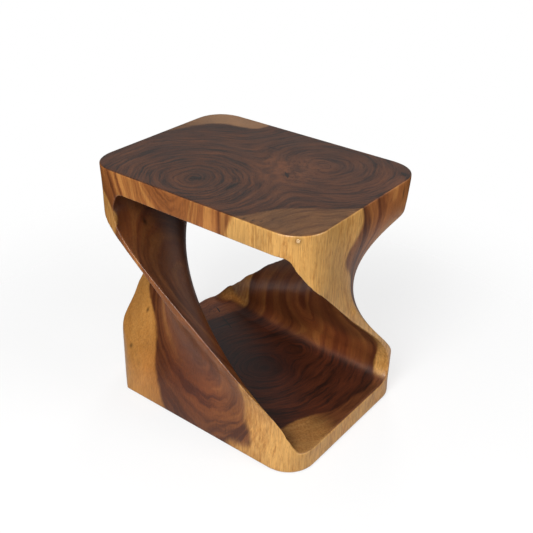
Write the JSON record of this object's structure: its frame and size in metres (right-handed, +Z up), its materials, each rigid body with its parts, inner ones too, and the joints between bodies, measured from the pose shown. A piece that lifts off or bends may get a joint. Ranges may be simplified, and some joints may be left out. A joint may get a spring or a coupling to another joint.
{
  "type": "twisted side table",
  "caption": "Side table carved from a solid block, its walls twisting a quarter turn between a rounded rectangular base and top, with an open shelf between them.",
  "frame": {"origin": "centre of the table's plan, on the floor under its felt pads", "axes": "+Z up, +X along the 508 mm length, +Y along the 381 mm depth towards the back"},
  "size_m": [0.508, 0.381, 0.508],
  "materials": {
    "oiled_wood": "satin oil",
    "plug_wood": "satin oil",
    "dark_filler": "matte",
    "felt": "felt"
  },
  "bodies": {
    "root": {"carved_body": "oiled_wood", "pith_fill": "dark_filler", "ring_shake_fill": "dark_filler", "burl_hole_fill": "dark_filler", "corner_crack_fill": "dark_filler", "floor_check_fill_long": "dark_filler", "floor_check_fill_short": "dark_filler", "knot_plug": "plug_wood", "pad_front_left": "felt", "pad_front_right": "felt", "pad_back_left": "felt", "pad_back_right": "felt"}
  },
  "joints": []
}
